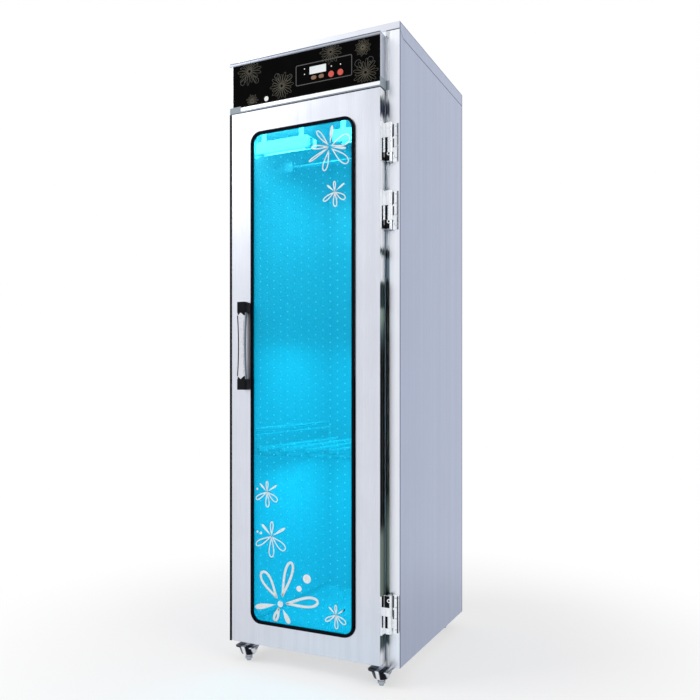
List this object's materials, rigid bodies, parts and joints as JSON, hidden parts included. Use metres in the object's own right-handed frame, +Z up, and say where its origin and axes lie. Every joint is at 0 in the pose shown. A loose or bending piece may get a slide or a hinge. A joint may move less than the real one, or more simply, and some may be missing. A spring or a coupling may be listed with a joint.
{
  "type": "dish sterilizer cabinet",
  "caption": "Tall stainless sterilizer cabinet with a glazed hinged door, hanger rod, tube shelf, UV lamps, warm-air fan, push-button panel and levelling feet.",
  "frame": {"origin": "on the floor, at the centre of the overall width and depth", "axes": "+Z up, -Y towards the user at the door, +X to the right seen from the front"},
  "size_m": [0.555, 0.682, 1.9],
  "materials": {
    "stainless_outer": "hairline brushed stainless steel",
    "stainless_door": "bright polished stainless steel",
    "stainless_liner": "polished stainless steel lining",
    "zinc_steel": "zinc-plated steel",
    "chrome": "bright chrome plating",
    "white_enamel": "white baked enamel",
    "black_panel": "glossy black acrylic",
    "black_plastic": "black moulded plastic",
    "black_rubber": "black rubber profile",
    "grey_plastic": "grey moulded plastic",
    "white_plastic": "white moulded plastic",
    "tinted_glass": "cyan tinted tempered glass",
    "lamp_glass": "clear quartz tube",
    "display_lens": "pale display window",
    "indicator_lens": "milky lens",
    "red_button": "red push button",
    "gold_button": "bronze-brown push button",
    "circuit_board": "green circuit board",
    "gasket_rubber": "soft magnetic gasket",
    "galvanised_duct": "mill finish sheet"
  },
  "bodies": {
    "cabinet": {"air_duct": "galvanised_duct", "back_panel": "zinc_steel", "base_pan": "zinc_steel", "cable_gland": "black_plastic", "control_board": "circuit_board", "control_housing": "stainless_door", "control_overlay": "black_panel", "display_window": "display_lens", "door_switch": "black_plastic", "drip_tray": "stainless_liner", "fan_frame": "black_plastic", "fan_guard": "chrome", "foot_sleeves": "chrome", "front_frame": "stainless_outer", "hanger_rod": "chrome", "heater_element": "zinc_steel", "hinge_frame_leaves": "chrome", "hinge_pins": "zinc_steel", "indicator_lenses": "indicator_lens", "lamp_ballast": "white_enamel", "lamp_hoods": "white_enamel", "lamp_sockets": "white_plastic", "liner_back": "stainless_liner", "liner_ceiling": "stainless_liner", "liner_floor": "stainless_liner", "liner_left": "stainless_liner", "liner_right": "stainless_liner", "panel_end_caps": "grey_plastic", "panel_trims": "chrome", "power_supply": "galvanised_duct", "rod_brackets": "chrome", "shelf_frame": "chrome", "shelf_supports": "stainless_liner", "shelf_tube_caps": "white_plastic", "shelf_tubes": "chrome", "side_panel_left": "stainless_outer", "side_panel_right": "stainless_outer", "temperature_probe": "chrome", "top_cap": "stainless_outer", "uv_lamp_tubes": "lamp_glass", "wall_spacers": "zinc_steel"},
    "door": {"door_outer_pan": "stainless_door", "door_inner_pan": "stainless_liner", "door_glass": "tinted_glass", "window_seal": "black_rubber", "door_gasket": "gasket_rubber", "door_edge_strip": "black_rubber", "handle_grip": "chrome", "handle_mounts": "black_plastic", "hinge_door_leaves": "chrome", "door_magnet": "white_plastic"},
    "fan_rotor": {"fan_impeller": "black_plastic"},
    "button_round_one": {"button_round_one": "red_button"},
    "button_round_two": {"button_round_two": "red_button"},
    "button_oval_one": {"button_oval_one": "gold_button"},
    "button_oval_two": {"button_oval_two": "gold_button"},
    "foot_front_left": {"foot_insert_front_left": "chrome"},
    "foot_front_right": {"foot_insert_front_right": "chrome"},
    "foot_rear_left": {"foot_insert_rear_left": "chrome"},
    "foot_rear_right": {"foot_insert_rear_right": "chrome"}
  },
  "joints": [
    {"name": "door_hinge", "type": "hinge", "parent": "cabinet", "child": "door", "pos_m": [0.252, -0.282, 0.9], "axis": [0, 0, 1], "range_deg": [0, 120]},
    {"name": "press_round_one", "type": "slide", "parent": "cabinet", "child": "button_round_one", "axis": [0, 1, 0], "range_m": [0, 0.0008], "stiffness_N_per_m": 400, "springref_m": -0.0005},
    {"name": "press_round_two", "type": "slide", "parent": "cabinet", "child": "button_round_two", "axis": [0, 1, 0], "range_m": [0, 0.0008], "stiffness_N_per_m": 400, "springref_m": -0.0005},
    {"name": "press_oval_one", "type": "slide", "parent": "cabinet", "child": "button_oval_one", "axis": [0, 1, 0], "range_m": [0, 0.0008], "stiffness_N_per_m": 400, "springref_m": -0.0005},
    {"name": "press_oval_two", "type": "slide", "parent": "cabinet", "child": "button_oval_two", "axis": [0, 1, 0], "range_m": [0, 0.0008], "stiffness_N_per_m": 400, "springref_m": -0.0005},
    {"name": "fan_spin", "type": "hinge", "parent": "cabinet", "child": "fan_rotor", "pos_m": [0, 0.061, 1.735], "axis": [0, 0, 1], "continuous": true},
    {"name": "level_front_left", "type": "slide", "parent": "cabinet", "child": "foot_front_left", "axis": [0, 0, -1], "range_m": [0, 0.015]},
    {"name": "level_front_right", "type": "slide", "parent": "cabinet", "child": "foot_front_right", "axis": [0, 0, -1], "range_m": [0, 0.015]},
    {"name": "level_rear_left", "type": "slide", "parent": "cabinet", "child": "foot_rear_left", "axis": [0, 0, -1], "range_m": [0, 0.015]},
    {"name": "level_rear_right", "type": "slide", "parent": "cabinet", "child": "foot_rear_right", "axis": [0, 0, -1], "range_m": [0, 0.015]}
  ]
}
